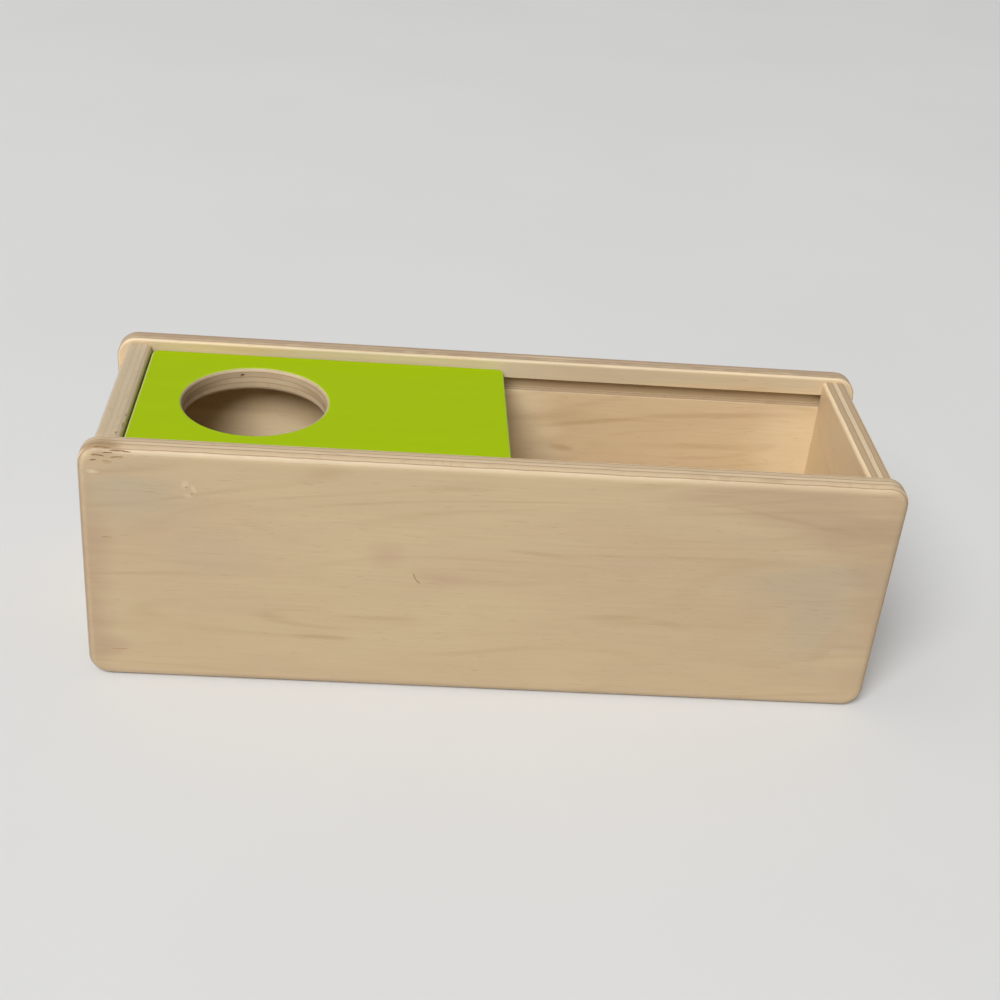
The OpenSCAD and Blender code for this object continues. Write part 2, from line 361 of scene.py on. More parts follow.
def long_panel_tree(rim):
    """A long wall, lying on its inner face: round corners, two stopped grooves and the dowel holes."""
    tree, given = start_tree(
        "long_panel",
        "length height thickness corner inner_arris outer_arris overrun "
        "lid_groove_place lid_groove_height lid_groove_depth lid_groove_run "
        "base_groove_place base_groove_height base_groove_depth base_groove_run "
        "dowel_side dowel_start dowel_step dowel_hole_radius dowel_hole_depth",
        dowel_count="Int", steps="Int", material="Material",
    )
    steps = given["steps"]
    outline = filleted_outline(tree, given["length"], given["height"], given["corner"], steps)
    board = slab(
        tree, rim, outline, given["thickness"], steps, given["inner_arris"], given["outer_arris"]
    )
    below = add(tree, "Math", {0: given["overrun"], 1: -1.0}, operation="MULTIPLY")[0]
    cutters = []
    for groove in ("lid_groove", "base_groove"):
        height = given[groove + "_height"]
        end_radius = add(tree, "Math", {0: height, 1: GROOVE_ROUND}, operation="MULTIPLY")[0]
        deep = add(tree, "Math", {0: given[groove + "_depth"], 1: given["overrun"]}, operation="ADD")[0]
        track = filleted_outline(tree, given[groove + "_run"], height, end_radius, steps)
        waste = slab(tree, rim, track, deep, steps)
        place = add(tree, "CombineXYZ", {1: given[groove + "_place"], 2: below})[0]
        cutters.append(add(tree, "GeometryNodeTransform", {"Geometry": waste, "Translation": place})[0])
    for sign in (-1.0, 1.0):
        side = add(tree, "Math", {0: given["dowel_side"], 1: sign}, operation="MULTIPLY")[0]
        cutters.append(bored_holes(tree, given, side, 0.0))
    return end_tree(tree, board, given["material"], cutters)


def end_board_tree(rim):
    """An end wall, standing on its cut end: a rounded section, the base's housing and the dowel holes."""
    tree, given = start_tree(
        "end_board",
        "thickness height width arris base_groove_place base_groove_height base_groove_depth "
        "dowel_start dowel_step dowel_hole_radius dowel_hole_depth",
        dowel_count="Int", steps="Int", material="Material",
    )
    steps = given["steps"]
    section = filleted_outline(tree, given["thickness"], given["height"], given["arris"], steps)
    board = slab(tree, rim, section, given["width"], steps)

    # The housing runs right through: a bar centred on the inner face, twice as thick as the housing is deep
    bar = add(tree, "Math", {0: given["base_groove_depth"], 1: 2.0}, operation="MULTIPLY")[0]
    long = add(tree, "Math", {0: given["width"], 1: 2.0}, operation="MULTIPLY")[0]
    size = add(tree, "CombineXYZ", {0: bar, 1: given["base_groove_height"], 2: long})[0]
    waste = add(tree, "GeometryNodeMeshCube", {"Size": size})[0]
    inner = add(tree, "Math", {0: given["thickness"], 1: -0.5}, operation="MULTIPLY")[0]
    place = add(tree, "CombineXYZ", {0: inner, 1: given["base_groove_place"]})[0]
    cutters = [add(tree, "GeometryNodeTransform", {"Geometry": waste, "Translation": place})[0]]
    for low in (0.0, given["width"]):
        cutters.append(bored_holes(tree, given, 0.0, low))
    return end_tree(tree, board, given["material"], cutters)


def sliding_lid_tree(rim):
    """The lid, lying on its underside: a tongued lower half, a narrower top and a hole with rounded rims."""
    tree, given = start_tree(
        "sliding_lid",
        "length tongue_width width thickness tongue_thickness corner arris "
        "hole_radius hole_place hole_arris",
        steps="Int", material="Material",
    )
    steps = given["steps"]
    tongue_outline = filleted_outline(tree, given["length"], given["tongue_width"], given["corner"], steps)
    tongue = slab(tree, rim, tongue_outline, given["tongue_thickness"], steps, given["arris"])

    # The top reaches half way down into the tongued half, so that the two join in a clean union
    sunk = add(tree, "Math", {0: given["tongue_thickness"], 1: 0.5}, operation="MULTIPLY")[0]
    tall = add(tree, "Math", {0: given["thickness"], 1: sunk}, operation="SUBTRACT")[0]
    top_outline = filleted_outline(tree, given["length"], given["width"], given["corner"], steps)
    top = slab(tree, rim, top_outline, tall, steps, high_arris=given["arris"])
    lift = add(tree, "CombineXYZ", {2: sunk})[0]
    raised = add(tree, "GeometryNodeTransform", {"Geometry": top, "Translation": lift})[0]
    body = add(
        tree, "GeometryNodeMeshBoolean", {"Mesh 2": [tongue, raised]}, operation="UNION", solver="EXACT"
    )[0]
    circle = add(
        tree, "GeometryNodeCurvePrimitiveCircle", {"Resolution": PLUG_SIDES, "Radius": given["hole_radius"]}
    )[0]
    plug = slab(
        tree, rim, circle, given["thickness"], steps, given["hole_arris"], given["hole_arris"], side=-1.0
    )
    aside = add(tree, "CombineXYZ", {0: given["hole_place"]})[0]
    plug = add(tree, "GeometryNodeTransform", {"Geometry": plug, "Translation": aside})[0]
    return end_tree(tree, body, given["material"], [plug])


def dowel_row_tree(rim):
    """A row of dowels along Y, each along Z with chamfered ends."""
    tree, given = start_tree(
        "dowel_row", "dowel_radius length chamfer dowel_start dowel_step",
        dowel_count="Int", flats="Int", material="Material",
    )
    circle = add(
        tree, "GeometryNodeCurvePrimitiveCircle",
        {"Resolution": given["flats"], "Radius": given["dowel_radius"]},
    )[0]
    dowel = slab(tree, rim, circle, given["length"], 1, given["chamfer"], given["chamfer"])
    return end_tree(tree, dowel_row(tree, given, dowel), given["material"])


def mesh_of(owner):
    """A plain mesh of an object with its modifiers applied."""
    bpy.context.view_layer.update()
    return bpy.data.meshes.new_from_object(owner.evaluated_get(bpy.context.evaluated_depsgraph_get()))


def new_object(name, data):
    """An object at the origin in the scene."""
    owner = bpy.data.objects.new(name, data)
    bpy.context.scene.collection.objects.link(owner)
    return owner


def nicked(name, mesh, nicks, axis):
    """A mesh with its nicks cut by uneven lumps, each turned about the axis."""
    shape = bmesh.new()
    for place, half, turn in nicks:
        where = (
            Matrix.Translation(Vector(place) * MM)
            @ Matrix.Rotation(math.radians(turn), 4, axis)
            @ Matrix.Diagonal((*(Vector(half) * MM), 1))
        )
        for corner in bmesh.ops.create_icosphere(shape, subdivisions=3, radius=1)["verts"]:
            corner.co *= 1 + LUMP_UNEVEN * noise.noise(corner.co * LUMP_BUMPS + Vector(place))
            corner.co = where @ corner.co
    lumps = bpy.data.meshes.new(name + ".nicks")
    shape.to_mesh(lumps)
    shape.free()
    lumps.materials.append(bpy.data.materials.get("bruised_birch") or bruised_birch("bruised_birch"))
    lumps.shade_smooth()
    cutter = new_object(name + ".nicks", lumps)
    rough = new_object(name + ".rough", mesh)
    cut = rough.modifiers.new("nicks", "BOOLEAN")
    cut.object = cutter
    cut.operation = "DIFFERENCE"
    cut.solver = "EXACT"
    cut.use_self = True
    cut.material_mode = "TRANSFER"
    mesh = mesh_of(rough)
    for tool in (cutter, rough):
        bpy.data.objects.remove(tool)
    return mesh


def dressed_piece(name, tree, sizes, place, body, node, nicks=(), axis="Z"):
    """Runs a tree with its sizes, puts its mesh in its place and makes it a piece that stands for a node."""
    carrier = new_object(name + ".carrier", bpy.data.meshes.new(name))
    modifier = carrier.modifiers.new(name, "NODES")
    modifier.node_group = tree
    for item in tree.interface.items_tree:
        if item.in_out == "INPUT":
            modifier[item.identifier] = sizes[item.name]
    mesh = mesh_of(carrier)
    bpy.data.objects.remove(carrier)
    mesh.transform(place)
    mesh.shade_smooth()
    if nicks:
        mesh = nicked(name, mesh, nicks, axis)
    mesh.set_sharp_from_angle(angle=SHARP_ANGLE)
    piece = new_object(name, mesh)
    soften = piece.modifiers.new("even shading", "WEIGHTED_NORMAL")
    soften.keep_sharp = True
    piece.data = mesh_of(piece)
    piece.data.name = name
    piece.modifiers.clear()
    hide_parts(node)
    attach(piece, body)


def new_material(name):
    """An empty node material; returns it, its tree and the object's own coordinates in millimetres."""
    material = bpy.data.materials.new(name)
    material.use_nodes = True
    tree = material.node_tree
    tree.nodes.clear()
    spot = add(tree, "TexCoord")["Object"]
    place = add(tree, "VectorMath", {0: spot, "Scale": 1 / MM}, operation="SCALE")[0]
    return material, tree, place


def finish_material(tree, skin, rough, height, distance, gloss=0.5):
    """Ends a material in the main shader with bump of this height in millimetres."""
    bump = add(tree, "Bump", {"Height": height, "Distance": distance * MM, "Strength": 1.0})[0]
    shader = add(
        tree, "BsdfPrincipled",
        {"Base Color": skin, "Roughness": rough, "Normal": bump, "Specular IOR Level": gloss},
    )[0]
    add(tree, "OutputMaterial", {"Surface": shader})


def soft_patches(tree, place, breaks, skin, patches):
    """Mixes soft ellipses of other tones into a colour, with rims made ragged by a noise; some are painted
    light and painted shade.
    """
    colours = bpy.context.scene.box_colours
    for centre, reach, turn, tone, strength in patches:
        near = add(
            tree, "Mapping",
            {"Vector": place, "Location": centre, "Rotation": (0, math.radians(turn), 0), "Scale": reach},
            vector_type="TEXTURE",
        )[0]
        far = add(tree, "VectorMath", {0: near}, operation="LENGTH")["Value"]
        ragged = add(tree, "Math", {0: breaks, 1: 1.4, 2: far}, operation="MULTIPLY_ADD")[0]
        share = add(
            tree, "MapRange",
            {"Value": ragged, "From Min": 0.95, "From Max": 1.85, "To Min": strength, "To Max": 0.0},
            interpolation_type="SMOOTHSTEP",
        )[0]
        skin = add(tree, "Mix", {0: share, 6: skin, 7: getattr(colours, tone)}, data_type="RGBA")[2]
    return skin


def plywood_grain(tree, place, box, axes, pitch, seed, inside=0, stripes=1.0, crossing=0.28, patches=()):
    """Nodes for birch plywood at a place in millimetres; returns colour, roughness and height.
    The axes of the board's box are the face grain, across it and through the plies, which have this pitch.
    Inside is the side, -1 or 1, that faces into the box; its face is painted paler, as painted light that
    lifts the shade inside the box. Stripes is how clearly plies show on a cut edge, and crossing how dark
    the ends of the crossed plies are there."""
    colours = bpy.context.scene.box_colours
    low, high = (corner[axes[2]] / MM for corner in box)
    half = (high - low) / 2
    split = add(tree, "SeparateXYZ", {0: place})
    facing = add(tree, "SeparateXYZ", {0: add(tree, "NewGeometry")["Normal"]})
    along, across, through = [split[axis] for axis in axes]
    depth = add(tree, "Math", {0: through, 1: (low + high) / 2}, operation="SUBTRACT")[0]

    # The glue lines waver by a twentieth of a ply, because veneers are never quite even
    waver = add(tree, "TexNoise", {"Vector": place, "Scale": 1 / 9, "Detail": 1.0})[0]
    lift = add(tree, "MapRange", {"Value": waver, **NOISE_SPAN, "To Min": -0.05, "To Max": 0.05})[0]
    layer = add(tree, "Math", {0: depth, 1: 1 / pitch, 2: lift}, operation="MULTIPLY_ADD")[0]
    ply = add(tree, "Math", {0: layer}, operation="ROUND")[0]
    crossed = add(tree, "Math", {0: ply, 1: 1.0}, operation="PINGPONG")[0]
    lengthwise = add(tree, "Mix", {0: crossed, 2: along, 3: across})[0]
    sideways = add(tree, "Mix", {0: crossed, 2: across, 3: along})[0]
    fibre = add(tree, "CombineXYZ", {0: lengthwise, 1: sideways, 2: depth})[0]

    # Each ply has its own slice of the noises
    sheet = add(tree, "Math", {0: ply, 1: 3.7, 2: seed}, operation="MULTIPLY_ADD")[0]
    pattern = {}
    for name, (long, wide, detail) in MARKS.items():
        stretched = add(
            tree, "VectorMath", {0: fibre, 1: (1 / long, 1 / wide, 1 / wide)}, operation="MULTIPLY"
        )[0]
        pattern[name] = add(
            tree, "TexNoise", {"Vector": stretched, "W": sheet, "Scale": 1.0, "Detail": detail},
            noise_dimensions="4D",
        )[0]

    # Growth rings are level lines of a slow noise, soft and broken, as in rotary-cut veneer
    slope = add(tree, "Math", {0: pattern["figure"], 1: 13.0}, operation="MULTIPLY")[0]
    swing = add(tree, "Math", {0: slope, 1: 0.5}, operation="PINGPONG")[0]
    line = add(
        tree, "MapRange", {"Value": swing, "From Min": 0.22, "From Max": 0.0},
        interpolation_type="SMOOTHSTEP",
    )[0]
    shown = add(
        tree, "MapRange", {"Value": pattern["breaks"], "From Min": 0.44, "From Max": 0.7, "To Min": 0.08}
    )[0]
    ring = add(tree, "Math", {0: line, 1: shown}, operation="MULTIPLY")[0]
    fleck = add(tree, "MapRange", {"Value": pattern["fleck"], "From Min": 0.71, "From Max": 0.82})[0]
    tone = add(
        tree, "MapRange", {"Value": pattern["tone"], "From Min": 0.34, "From Max": 0.66, "To Max": 0.6}
    )[0]
    skin = add(tree, "Mix", {0: tone, 6: colours.veneer, 7: colours.blush}, data_type="RGBA")[2]

    # On a cut edge the inner plies show paler, and those whose fibres end there show darker end grain
    flat = add(tree, "Math", {0: facing[axes[2]]}, operation="ABSOLUTE")[0]
    cut = add(tree, "MapRange", {"Value": flat, "From Min": 0.97, "From Max": 0.55})[0]
    skin = add(tree, "Mix", {0: cut, 6: skin, 7: colours.edge}, data_type="RGBA")[2]
    end_on = add(tree, "Mix", {0: crossed, 2: facing[axes[0]], 3: facing[axes[1]]})[0]
    end_face = add(tree, "Math", {0: end_on}, operation="ABSOLUTE")[0]
    thirst = add(tree, "Mix", {0: crossed, 2: 0.85 * stripes, 3: crossing * stripes})[0]
    end_grain = add(
        tree, "MapRange", {"Value": end_face, "From Min": 0.4, "From Max": 0.75, "To Max": thirst}
    )[0]
    skin = soft_patches(tree, place, pattern["breaks"], skin, patches)

    # The roundings are painted paler, the most half way round: a painted highlight all along them, stronger
    # where scuffed pale in places, though end grain stays dark
    square = add(tree, "Math", {0: flat, 1: 2.0}, operation="POWER")[0]
    arris = add(tree, "Math", {0: square, 1: 0.5}, operation="PINGPONG")[0]
    wear_over_highlight = add(
        tree, "MapRange", {"Value": pattern["scuff"], "From Min": 0.5, "From Max": 0.68, "To Min": 0.4}
    )[0]
    smooth = add(tree, "Math", {0: 1.0, 1: end_grain}, operation="SUBTRACT")[0]
    rounding_mask = add(tree, "Math", {0: arris, 1: smooth}, operation="MULTIPLY")[0]
    scuff_and_highlight = add(tree, "Math", {0: rounding_mask, 1: wear_over_highlight}, operation="MULTIPLY")[0]

    # A glue line lies between two plies, full for 0.08 mm to each side and gone at 0.2 mm
    within = add(tree, "Math", {0: layer, 1: ply}, operation="SUBTRACT")[0]
    reach = add(tree, "Math", {0: within}, operation="ABSOLUTE")[0]
    glue = add(
        tree, "MapRange",
        {"Value": reach, "From Min": 0.5 - 0.2 / pitch, "From Max": 0.5 - 0.08 / pitch, "To Max": stripes},
    )[0]
    for mark, strength, tint in (
        (end_grain, 1.0, colours.ring), (ring, 0.27, colours.ring), (fleck, 0.26, colours.ring),
        (glue, 1.0, colours.glue), (scuff_and_highlight, 0.7, colours.pale),
    ):
        share = add(tree, "Math", {0: mark, 1: strength}, operation="MULTIPLY")[0]
        skin = add(tree, "Mix", {0: share, 6: skin, 7: tint}, data_type="RGBA")[2]

    # Fine streaks along the fibres, and painted light: the face inside the box is painted paler to lift its
    # shade, half as much on its cut roundings
    streak = add(
        tree, "MapRange", {"Value": pattern["fibres"], **NOISE_SPAN, "To Min": 0.972, "To Max": 1.028}
    )[0]
    inward = add(tree, "Math", {0: depth, 1: inside}, operation="MULTIPLY")[0]
    inner_painted_light = add(
        tree, "MapRange",
        {"Value": inward, "From Min": half - 1.2, "From Max": half - 0.6, "To Min": 1.0, "To Max": 1.42},
    )[0]
    rounding_share = add(tree, "Math", {0: cut, 1: 0.5}, operation="MULTIPLY")[0]
    inner_painted_light = add(tree, "Mix", {0: rounding_share, 2: inner_painted_light, 3: 1.0})[0]
    streak_and_inner_light = add(tree, "Math", {0: streak, 1: inner_painted_light}, operation="MULTIPLY")[0]
    skin = add(tree, "HueSaturation", {"Value": streak_and_inner_light, "Color": skin})[0]
    rough = add(
        tree, "MapRange", {"Value": pattern["fibres"], **NOISE_SPAN, "To Min": 0.42, "To Max": 0.58}
    )[0]
    height = pattern["fibres"]
    for mark, strength in ((fleck, -0.6), (glue, -0.4), (scuff_and_highlight, -0.5)):
        height = add(tree, "Math", {0: mark, 1: strength, 2: height}, operation="MULTIPLY_ADD")[0]
    return skin, rough, height


def birch_plywood(name, *wood, **looks):
    """Sanded birch plywood under matt lacquer: pale faces with faint rings and flecks, striped edges."""
    material, tree, place = new_material(name)
    skin, rough, height = plywood_grain(tree, place, *wood, **looks)
    finish_material(tree, skin, rough, height, 0.05)
    return material


def lime_paint(name, box, pitch, hole, hole_radius):
    """Satin lime green paint, sprayed on plywood: even and lively, paler on the arrises, where thin paint
    and a painted highlight are mixed in; the bore is bare.
    The hole is a place and a radius in millimetres."""
    material, tree, place = new_material(name)
    colours = bpy.context.scene.box_colours
    bare, bare_rough, bare_height = plywood_grain(
        tree, place, box, (0, 1, 2), pitch, 41.0, stripes=0.6,
        patches=((hole, (60, 60, 30), 0, "cloud", 0.4),),
    )

    # The paint ends raggedly on the rounded rim of the bore
    ragged = add(tree, "TexNoise", {"Vector": place, "Scale": 1 / 1.6, "Detail": 2.0})[0]
    aside = add(tree, "VectorMath", {0: place, 1: hole}, operation="SUBTRACT")[0]
    level = add(tree, "VectorMath", {0: aside, 1: (1, 1, 0)}, operation="MULTIPLY")[0]
    radius = add(tree, "VectorMath", {0: level}, operation="LENGTH")["Value"]
    uneven = add(tree, "Math", {0: ragged, 1: -0.5, 2: radius}, operation="MULTIPLY_ADD")[0]
    painted = add(
        tree, "MapRange", {"Value": uneven, "From Min": hole_radius + 0.4, "From Max": hole_radius + 0.6}
    )[0]

    # The grain under the paint shows as a slight, drawn-out swell, and the spray as a fine pebble of 0.7 mm
    drawn = add(tree, "VectorMath", {0: place, 1: (1 / 60, 1 / 5, 1 / 5)}, operation="MULTIPLY")[0]
    swell = add(tree, "TexNoise", {"Vector": drawn, "Scale": 1.0, "Detail": 3.0})[0]
    pebble = add(tree, "TexNoise", {"Vector": place, "Scale": 1 / 0.7, "Detail": 1.0})[0]
    bright = add(tree, "MapRange", {"Value": swell, **NOISE_SPAN, "To Min": 0.985, "To Max": 1.015})[0]
    green = add(tree, "HueSaturation", {"Value": bright, "Color": colours.paint})[0]
    # The arrises are paler, as thin paint and a painted highlight, strongest half way round each rounding
    upward = add(tree, "SeparateXYZ", {0: add(tree, "NewGeometry")["Normal"]})[2]
    square = add(tree, "Math", {0: upward, 1: upward}, operation="MULTIPLY")[0]
    arris = add(tree, "Math", {0: square, 1: 0.5}, operation="PINGPONG")[0]
    thin = add(tree, "Math", {0: arris, 1: 1.7}, operation="MULTIPLY")[0]
    green = add(tree, "Mix", {0: thin, 6: green, 7: colours.thin_paint_and_highlight}, data_type="RGBA")[2]
    skin = add(tree, "Mix", {0: painted, 6: bare, 7: green}, data_type="RGBA")[2]
    satin = add(tree, "MapRange", {"Value": pebble, **NOISE_SPAN, "To Min": 0.4, "To Max": 0.5})[0]
    rough = add(tree, "Mix", {0: painted, 2: bare_rough, 3: satin})[0]
    relief = add(tree, "Math", {0: swell, 1: 0.6, 2: pebble}, operation="MULTIPLY_ADD")[0]
    height = add(tree, "Mix", {0: painted, 2: bare_height, 3: relief})[0]
    finish_material(tree, skin, rough, height, 0.03, gloss=0.04)
    return material


def turned_beech(name):
    """Bare turned beech: warm, with fine dark flecks along the dowel, 4 mm long and 0.4 mm wide."""
    material, tree, place = new_material(name)
    colours = bpy.context.scene.box_colours
    drawn = add(tree, "VectorMath", {0: place, 1: (1 / 0.4, 1 / 4, 1 / 0.4)}, operation="MULTIPLY")[0]
    fibres = add(tree, "TexNoise", {"Vector": drawn, "Scale": 1.0, "Detail": 3.0})[0]
    dark = add(tree, "MapRange", {"Value": fibres, "From Min": 0.5, "From Max": 0.75, "To Max": 0.6})[0]
    skin = add(tree, "Mix", {0: dark, 6: colours.beech, 7: colours.ring}, data_type="RGBA")[2]
    rough = add(tree, "MapRange", {"Value": fibres, "To Min": 0.5, "To Max": 0.7})[0]
    finish_material(tree, skin, rough, fibres, 0.04)
    return material


def bruised_birch(name):
    """Torn and bruised birch: rough fibres of 0.8 mm, browned by handling."""
    material, tree, place = new_material(name)
    colours = bpy.context.scene.box_colours
    fibres = add(tree, "TexNoise", {"Vector": place, "Scale": 1 / 0.8, "Detail": 3.0})[0]
    skin = add(tree, "Mix", {0: fibres, 6: colours.bruise, 7: colours.ring}, data_type="RGBA")[2]
    rough = add(tree, "MapRange", {"Value": fibres, "To Min": 0.6, "To Max": 0.9})[0]
    finish_material(tree, skin, rough, fibres, 0.08)
    return material


def seen_rays(tree):
    """One for rays that show a surface, straight or by gloss or glass, and zero for those that light it."""
    path = add(tree, "LightPath")
    seen = path["Is Camera Ray"]
    for kind in ("Is Glossy Ray", "Is Transmission Ray"):
        seen = add(tree, "Math", {0: seen, 1: path[kind]}, operation="MAXIMUM")[0]
    return seen


def matt_white_board(name, fade_start, fade_end):
    """Matt white board: plain and faintly cloudy, and far from the box it runs into the plain backdrop."""
    material, tree, place = new_material(name)
    colours = bpy.context.scene.box_colours
    cloudy = add(tree, "TexNoise", {"Vector": place, "Scale": 6 * MM, "Detail": 3.0})[0]
    bright = add(tree, "MapRange", {"Value": cloudy, **NOISE_SPAN, "To Min": 0.985, "To Max": 1.015})[0]
    skin = add(tree, "HueSaturation", {"Value": bright, "Color": colours.floor})[0]
    board = add(tree, "BsdfPrincipled", {"Base Color": skin, "Roughness": 0.85})[0]
    away = add(tree, "VectorMath", {0: place}, operation="LENGTH")["Value"]
    far = add(
        tree, "MapRange", {"Value": away, "From Min": fade_start, "From Max": fade_end},
        interpolation_type="SMOOTHSTEP",
    )[0]
    share = add(tree, "Math", {0: far, 1: seen_rays(tree)}, operation="MULTIPLY")[0]
    backdrop = add(tree, "Emission", {"Color": colours.floor, "Strength": 1.0})[0]
    both = add(tree, "MixShader", {0: share, 1: board, 2: backdrop})[0]
    add(tree, "OutputMaterial", {"Surface": both})
    return material


def joint_sizes(shape, node):
    """Sizes that the walls share with a corner's dowels; heights are up from the middle of the walls."""
    low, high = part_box(node)
    base_low, base_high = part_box("base_board")
    panel_low, panel_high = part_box("front_panel")
    middle = (panel_low[2] + panel_high[2]) / 2
    radius = (high[0] - low[0]) / 2
    return {
        "dowel_radius": radius, "dowel_hole_radius": radius + shape.glue_gap,
        "dowel_count": shape.dowel_count, "dowel_start": low[2] + radius - middle,
        "dowel_step": (high[2] - low[2] - 2 * radius) / (shape.dowel_count - 1),
        "base_groove_place": (base_low[2] + base_high[2]) / 2 - middle,
        "base_groove_height": base_high[2] - base_low[2] + 2 * shape.glue_gap, "steps": shape.steps,
    }


class TOYBOX_OT_long_panels(bpy.types.Operator):
    """Makes the front and back panels with their grooves and dowel holes"""
    bl_idname = "toybox.long_panels"
    bl_label = "Long panels"

    def execute(self, context):
        shape = context.scene.box_shape
        low, high = (Vector(corner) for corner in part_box("front_panel"))
        lid_low, lid_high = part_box("sliding_lid")
        base_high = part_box("base_board")[1]
        end_low, end_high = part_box("right_end_board")
        dowel_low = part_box("front_right_dowels")[0]
        inner = -high.y
        middle = (low.z + high.z) / 2
        lid_groove = shape.tongue_thickness + 2 * shape.slide_clearance
        shared = joint_sizes(shape, "front_right_dowels")
        sizes = {
            **shared,
            "length": high.x - low.x, "height": high.z - low.z, "thickness": high.y - low.y,
            "corner": shape.panel_corner, "inner_arris": shape.inner_arris, "outer_arris": shape.outer_arris,
            "lid_groove_place": lid_low[2] + shape.tongue_thickness / 2 - middle,
            "lid_groove_height": lid_groove, "lid_groove_depth": lid_high[1] + shape.side_clearance - inner,
            "lid_groove_run": 2 * end_low[0] + lid_groove,
            "base_groove_depth": base_high[1] + shape.glue_gap - inner,
            "base_groove_run": 2 * (base_high[0] + shape.glue_gap) + shared["base_groove_height"],
            "dowel_side": (end_low[0] + end_high[0]) / 2,
            "dowel_hole_depth": -inner - dowel_low[1] + shape.glue_gap, "overrun": shape.overrun,
        }
        upright = Matrix.Translation((0, -inner, middle)) @ Matrix.Rotation(math.radians(90), 4, "X")
        tree = long_panel_tree(swept_rim_tree())
        for name, node, turn, inside, seed, patches, nicks in (
            ("front", "front_panel", 0, 1, 3.0, FRONT_TONES_AND_PAINTED_SHADE, FRONT_NICKS),
            ("back", "back_panel", 180, -1, 23.0, BACK_TONES_AND_PAINTED_LIGHT, ()),
        ):
            sizes["material"] = birch_plywood(
                "birch_plywood_" + name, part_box(node), (0, 2, 1), shape.wall_ply / MM, seed,
                inside=inside, patches=patches,
            )
            place = Matrix.Rotation(math.radians(turn), 4, "Z") @ upright
            dressed_piece("plywood_" + node, tree, sizes, place, "box", node, nicks, "Y")
        return {"FINISHED"}


class TOYBOX_OT_end_boards(bpy.types.Operator):
    """Makes the two end boards with the housing for the base"""
    bl_idname = "toybox.end_boards"
    bl_label = "End boards"

    def execute(self, context):
        shape = context.scene.box_shape
        low, high = (Vector(corner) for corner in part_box("right_end_board"))
        base_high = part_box("base_board")[1]
        dowel_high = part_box("front_right_dowels")[1]
        centre = (low + high) / 2
        sizes = {
            **joint_sizes(shape, "front_right_dowels"),
            "thickness": high.x - low.x, "height": high.z - low.z, "width": high.y - low.y,
            "arris": shape.end_arris, "base_groove_depth": base_high[0] + shape.glue_gap - low.x,
            "dowel_hole_depth": dowel_high[1] + shape.glue_gap - low.y,
        }
        corner = (centre.x, high.y, centre.z)
        upright = Matrix.Translation(corner) @ Matrix.Rotation(math.radians(90), 4, "X")
        tree = end_board_tree(swept_rim_tree())
        for name, node, turn, inside, seed, stripes, crossing, patches, nicks in (
            ("plywood_right_end", "right_end_board", 0, -1, 75.0, 0.85, 0.75, RIGHT_END_PAINTED_LIGHT, ()),
            ("plywood_left_end", "left_end_board", 180, 1, 51.0, 0.25, 0.28, LEFT_END_TONES, LEFT_END_NICKS),
        ):
            sizes["material"] = birch_plywood(
                "birch_" + name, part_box(node), (1, 2, 0), shape.wall_ply / MM, seed,
                inside=inside, stripes=stripes, crossing=crossing, patches=patches,
            )
            place = Matrix.Rotation(math.radians(turn), 4, "Z") @ upright
            dressed_piece(name, tree, sizes, place, "box", node, nicks)
        return {"FINISHED"}


class TOYBOX_OT_base_board(bpy.types.Operator):
    """Gives the base board its plywood"""
    bl_idname = "toybox.base_board"
    bl_label = "Base board"

    def execute(self, context):
        pitch = context.scene.box_shape.base_ply / MM
        ply = birch_plywood("birch_plywood_base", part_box("base_board"), (1, 0, 2), pitch, 87.0, inside=1)
        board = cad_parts["base_board"]
        board.data.materials.clear()
        board.data.materials.append(ply)
        return {"FINISHED"}


class TOYBOX_OT_sliding_lid(bpy.types.Operator):
    """Makes the painted lid with its tongues and its hole"""
    bl_idname = "toybox.sliding_lid"
    bl_label = "Sliding lid"

    def execute(self, context):
        shape = context.scene.box_shape
        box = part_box("sliding_lid")
        low, high = (Vector(corner) for corner in box)
        inner = -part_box("front_panel")[1][1]
        centre = (low + high) / 2
        hole = low.x + shape.hole_offset
        paint = lime_paint(
            "lime_paint_on_plywood", box, shape.wall_ply / MM, (hole / MM, 0, centre.z / MM),
            shape.hole_radius / MM,
        )
        sizes = {
            "length": high.x - low.x, "tongue_width": high.y - low.y,
            "width": 2 * (inner - shape.side_clearance), "thickness": high.z - low.z,
            "tongue_thickness": shape.tongue_thickness, "corner": shape.lid_corner, "arris": shape.lid_arris,
            "hole_radius": shape.hole_radius, "hole_place": hole - centre.x, "hole_arris": shape.hole_arris,
            "steps": shape.steps, "material": paint,
        }
        place = Matrix.Translation((centre.x, centre.y, low.z))
        tree = sliding_lid_tree(swept_rim_tree())
        dressed_piece("painted_lid", tree, sizes, place, "lid", "sliding_lid", LID_NICKS)
        return {"FINISHED"}


class TOYBOX_OT_dowels(bpy.types.Operator):
    """Makes the dowels in the four corners"""
    bl_idname = "toybox.dowels"
    bl_label = "Dowels"

    def execute(self, context):
        shape = context.scene.box_shape
        tree = dowel_row_tree(swept_rim_tree())
        beech = turned_beech("turned_beech")
        panel_low, panel_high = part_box("front_panel")
        for node in ("front_left_dowels", "front_right_dowels", "back_left_dowels", "back_right_dowels"):
            low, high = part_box(node)
            sizes = {
                **joint_sizes(shape, node), "length": high[1] - low[1], "chamfer": shape.dowel_chamfer,
                "flats": shape.dowel_flats, "material": beech,
            }
            middle = ((low[0] + high[0]) / 2, high[1], (panel_low[2] + panel_high[2]) / 2)
            place = Matrix.Translation(middle) @ Matrix.Rotation(math.radians(90), 4, "X")
            dressed_piece("beech_" + node, tree, sizes, place, "box", node)
        return {"FINISHED"}


